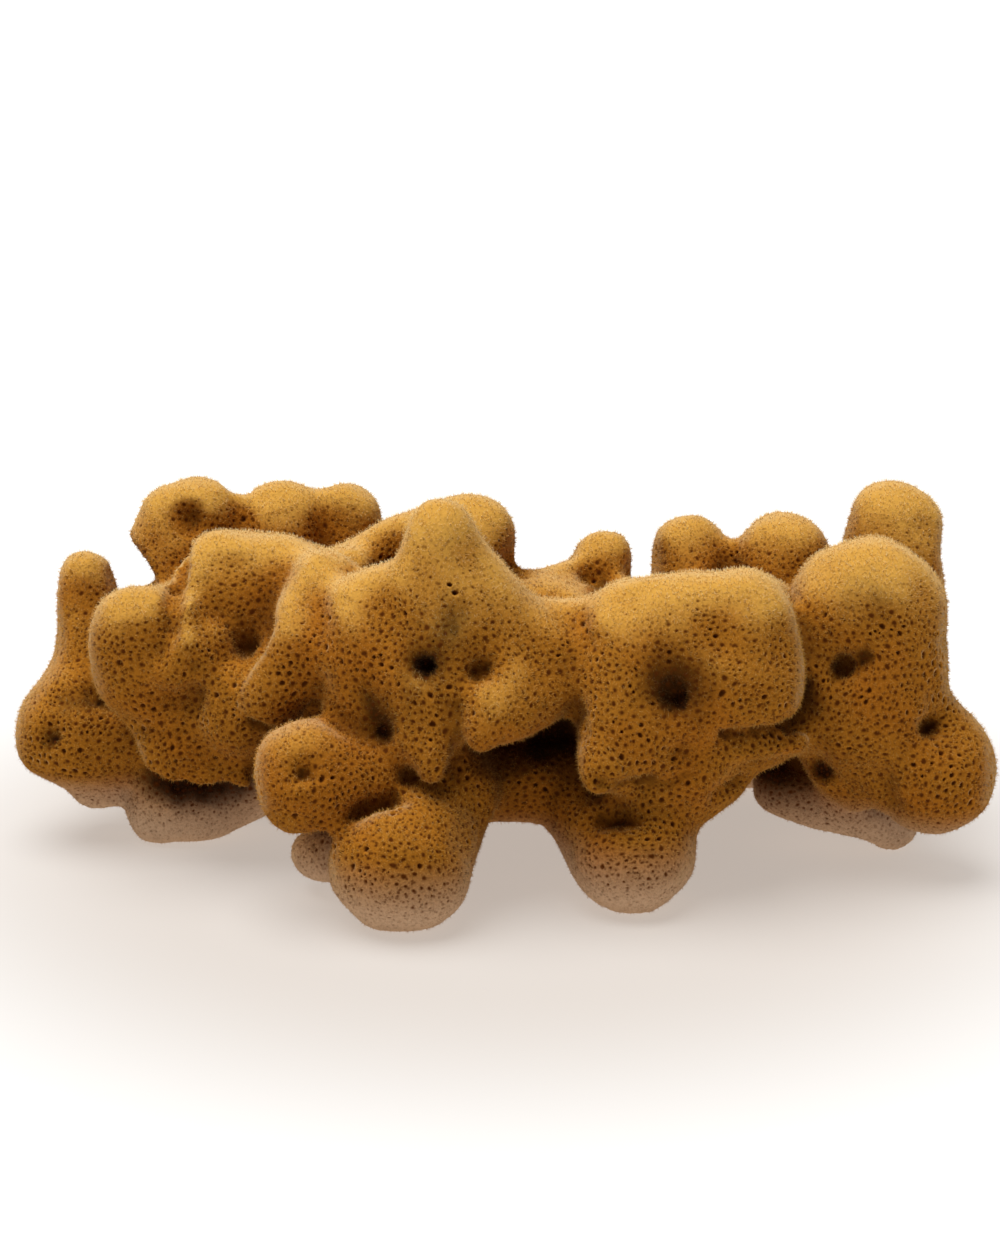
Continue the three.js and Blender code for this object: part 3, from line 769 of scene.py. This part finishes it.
# The pores that are too fine for the mesh are grain and dots in the material, fewer on the crowns and
# near the floor. Edges with open air behind them get a painted gold highlight, as the light comes through
# there.
GRAIN_AND_PIT_SHADE = (0.11, 0.028, 0.003, 1)
PIT_RAMP = (0.38, 0.86)
GRAIN = 0.35
GRAIN_SCALE = 1500
GRAIN_RAMP = (0.46, 0.68)
DOTS = 0.80
DOTS_SCALE = 820
DOTS_RAMP = (0.38, 0.18)
BARE_CROWN_RAMP = (1.6, -0.2)
BARE_FOOT_RAMP = (-0.006, 0.018)
RIM_HIGHLIGHT = 0.55
RIM_HIGHLIGHT_GOLD = (0.80, 0.60, 0.33, 1)
RIM_HIGHLIGHT_RAMP = (0.3, 1.0)
OPEN_VALLEY_RAMP = (0.35, -0.15)
OPEN_SHADE_RAMP = (0.45, 0.05)

body_stuff, body_tree, body_shader, body_colour = sponge_stuff("sponge_skeleton", BODY_TONES)
body_place = add(body_tree, "ShaderNodeTexCoord").outputs["Object"]
fine = add(
    body_tree, "ShaderNodeTexNoise", {"Vector": body_place, "Scale": GRAIN_SCALE, "Detail": 2},
).outputs["Fac"]
dots = add(
    body_tree, "ShaderNodeTexVoronoi", {"Vector": body_place, "Scale": DOTS_SCALE},
).outputs["Distance"]
edge_on = add(body_tree, "ShaderNodeLayerWeight", {"Blend": 0.5}).outputs["Facing"]
body_height = add(body_tree, "ShaderNodeSeparateXYZ", {"Vector": body_place}).outputs["Z"]
bare = times(
    body_tree, ramp(body_tree, painted(body_tree, "crown"), *BARE_CROWN_RAMP),
    ramp(body_tree, body_height, *BARE_FOOT_RAMP),
)
grain = times(body_tree, times(body_tree, ramp(body_tree, fine, *GRAIN_RAMP), GRAIN), bare)
dotted = times(body_tree, times(body_tree, ramp(body_tree, dots, *DOTS_RAMP), DOTS), bare)
open_air = times(
    body_tree, ramp(body_tree, painted(body_tree, "valley_shade"), *OPEN_VALLEY_RAMP),
    ramp(body_tree, painted(body_tree, "shade"), *OPEN_SHADE_RAMP),
)
# A painted highlight in gold where the skin is seen edge-on, away from valleys and hollows.
rim_light = times(body_tree, times(body_tree, ramp(body_tree, edge_on, *RIM_HIGHLIGHT_RAMP), RIM_HIGHLIGHT), open_air)
body_colour = blend(body_tree, grain, body_colour, GRAIN_AND_PIT_SHADE)
body_colour = blend(body_tree, dotted, body_colour, GRAIN_AND_PIT_SHADE)
body_colour = blend(body_tree, rim_light, body_colour, RIM_HIGHLIGHT_GOLD)
# Painted shade in the pores' pits.
body_tree.links.new(
    blend(body_tree, ramp(body_tree, painted(body_tree, "pit_shade"), *PIT_RAMP), body_colour, GRAIN_AND_PIT_SHADE),
    body_shader.inputs["Base Color"],
)
body_shader.inputs["Roughness"].default_value = 0.95
body_shader.inputs["Specular IOR Level"].default_value = 0.05
body_shader.inputs["Sheen Weight"].default_value = 0.25
body_shader.inputs["Sheen Roughness"].default_value = 0.35
body_shader.inputs["Sheen Tint"].default_value = (1.0, 0.66, 0.28, 1)
bump = add(body_tree, "ShaderNodeBump", {"Height": fine, "Strength": 0.6, "Distance": 0.0003})
body_tree.links.new(bump.outputs["Normal"], body_shader.inputs["Normal"])
body_mesh.materials.append(body_stuff)
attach(body, "root")
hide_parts("sponge")


# The pile is the velvet of loose fibre ends all over the skin. It is a little longer on the crowns of
# the lobes, and thin in the mouths and around the pores. Each end is a thin closed spike that leans
# with its neighbours. There are four pieces along the length.
PILE_PIECES = 4
FIBRES_A_PIECE = 49500
FIBRE_WIDTH = 0.000075
FIBRE_ROOT = 0.0002
FIBRE_LENGTH = 0.00090
LENGTH_CHANCE = (0.6, 1.3)
LENGTH_ON_FACES = 0.9
LENGTH_ON_CROWNS = 0.1
LENGTH_LOST_ON_FEET = 0.35
FOOT_PILE_FALL = (0.026, -0.02)
THINNED_IN_HOLLOWS = 0.9
PILE_ON_UNDERSIDES = 0.75
FACING_START = 1.3
FACING_GAIN = 2
PILE_FROM_HEIGHT = 0.0006
PORE_SPARED = 0.5
LEAN_WAVES = (0.0043, 0.0017)
LEAN_TURNS = (0.3, 1.9, 4.1)
LEAN = 0.25
LEAN_CHANCE = 0.42
TIP_CLEARANCE = 0.00015
ROOT_CLEARANCE = 0.0001
PALE_CHANCE = (0.35, 1.25)
PALE_ON_FACES = 0.5
PALE_ON_CROWNS = 0.7
PILE_SEED = 23
pile_seeds = np.random.default_rng(PILE_SEED)

strands = np.concatenate([dimples, rim_bands[:, [0, 1, 2]], rim_bands[:, [0, 2, 3]]])
cell_of_strand = np.concatenate([cell_of[plain_loop], rim_cell, rim_cell])
a, b, c = (body_points[strands[:, k]] for k in range(3))
across = np.cross(b - a, c - a)
area = np.linalg.norm(across, axis=1) / 2
body_normal = read(body_mesh.vertices, "normal", 3).astype(float)
facing_up = np.clip(FACING_START + body_normal[strands[:, 0], 2] * FACING_GAIN, 0, 1)
share = area * (a[:, 2] > PILE_FROM_HEIGHT) * (1 - THINNED_IN_HOLLOWS * in_hollow[cell_of_strand])
share *= PILE_ON_UNDERSIDES + (1 - PILE_ON_UNDERSIDES) * facing_up
chosen = np.searchsorted(np.cumsum(share) / share.sum(), pile_seeds.random(PILE_PIECES * FIBRES_A_PIECE))
u, v = pile_seeds.random((2, len(chosen)))
over = u + v > 1
u[over], v[over] = 1 - u[over], 1 - v[over]
root_cell = cell_of_strand[chosen]
v = np.where(chosen < len(dimples), v * (1 - PORE_SPARED * np.clip(openness[root_cell], 0, 1)), v)
root = a[chosen] + (b - a)[chosen] * u[:, None] + (c - a)[chosen] * v[:, None]

# An end grows outwards, leans with the waves of its neighbourhood, and strays a little.
grow = sum(body_normal[strands[chosen, k]] for k in (0, 1)) / 2
lean = sum(
    np.stack([waves(root, length, turn + 5 * k) for turn in LEAN_TURNS], axis=1)
    for k, length in enumerate(LEAN_WAVES)
)
grow += LEAN * lean + LEAN_CHANCE * pile_seeds.normal(size=root.shape)
grow /= np.linalg.norm(grow, axis=1)[:, None]
length = FIBRE_LENGTH * pile_seeds.uniform(*LENGTH_CHANCE, len(root))
length *= LENGTH_ON_FACES + LENGTH_ON_CROWNS * crown[root_cell]
length *= 1 - LENGTH_LOST_ON_FEET * rise(root[:, 2], *FOOT_PILE_FALL)
tip = root + grow * length[:, None]
tip[:, 2] = np.maximum(tip[:, 2], TIP_CLEARANCE)
side = np.cross(grow, pile_seeds.normal(size=root.shape))
side /= np.linalg.norm(side, axis=1)[:, None]
other = np.cross(grow, side)
# How pale each tip is: partly its own colour, partly painted light through it, more on the crowns.
paleness = pile_seeds.uniform(*PALE_CHANCE, len(root))
paleness *= PALE_ON_FACES + PALE_ON_CROWNS * crown[root_cell]
order = np.argsort(root[:, 0], kind="stable")

# The fibre ends take the colour of the skin they grow from, lighter, and pale gold at their tips: partly
# their own paler ends and partly painted light shining through them, more so on the crowns.
FIBRE_TONES = {
    "Crown_and_skylight": (0.84, 0.54, 0.17, 1),
    "Face": (0.62, 0.31, 0.052, 1),
    "Rust": (0.60, 0.27, 0.042, 1),
    "Valley_shade": (0.28, 0.110, 0.014, 1),
    "Hollow_shade": (0.05, 0.016, 0.003, 1),
    "Foot_and_bounce": (0.70, 0.48, 0.30, 1),
}
TIP_GOLD_AND_GLOW = (0.97, 0.81, 0.52, 1)
TIP_RAMP = (0.1, 1.5)
fibre_stuff, fibre_tree, fibre_shader, fibre_colour = sponge_stuff("fibre_ends", FIBRE_TONES)
fibre_tree.links.new(
    blend(fibre_tree, ramp(fibre_tree, painted(fibre_tree, "tip"), *TIP_RAMP), fibre_colour, TIP_GOLD_AND_GLOW),
    fibre_shader.inputs["Base Color"],
)
fibre_shader.inputs["Roughness"].default_value = 0.8
fibre_shader.inputs["Specular IOR Level"].default_value = 0.08

# A spike has three corners at its foot, sunk a little below the skin, and one at its tip.
SPIKE = np.array([[0, 1, 3], [1, 2, 3], [2, 0, 3], [2, 1, 0]])
for number in range(PILE_PIECES):
    mine = order[number * FIBRES_A_PIECE:(number + 1) * FIBRES_A_PIECE]
    foot = root[mine] - grow[mine] * FIBRE_ROOT
    ring = [
        foot + FIBRE_WIDTH * (side[mine] * math.cos(turn) + other[mine] * math.sin(turn))
        for turn in (0, 2 * math.pi / 3, 4 * math.pi / 3)
    ]
    points = np.stack([*ring, tip[mine]], axis=1).reshape(-1, 3)
    points[:, 2] = np.maximum(points[:, 2], ROOT_CLEARANCE)
    spikes = (np.arange(len(mine))[:, None, None] * 4 + SPIKE).reshape(-1, 3)
    pile_mesh = mesh_from(f"fibres_{number + 1}", points, spikes)
    pile_mesh.shade_smooth()
    paint(pile_mesh, "tip", (paleness[mine, None] * np.array([0, 0, 0, 1])).ravel())
    for name, values in cell_marks.items():
        paint(pile_mesh, name, np.repeat(values[root_cell[mine]], 4))
    pile_mesh.materials.append(fibre_stuff)
    pile = placed(f"fibres_{number + 1}", pile_mesh)
    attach(pile, "root")
    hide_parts("sponge")
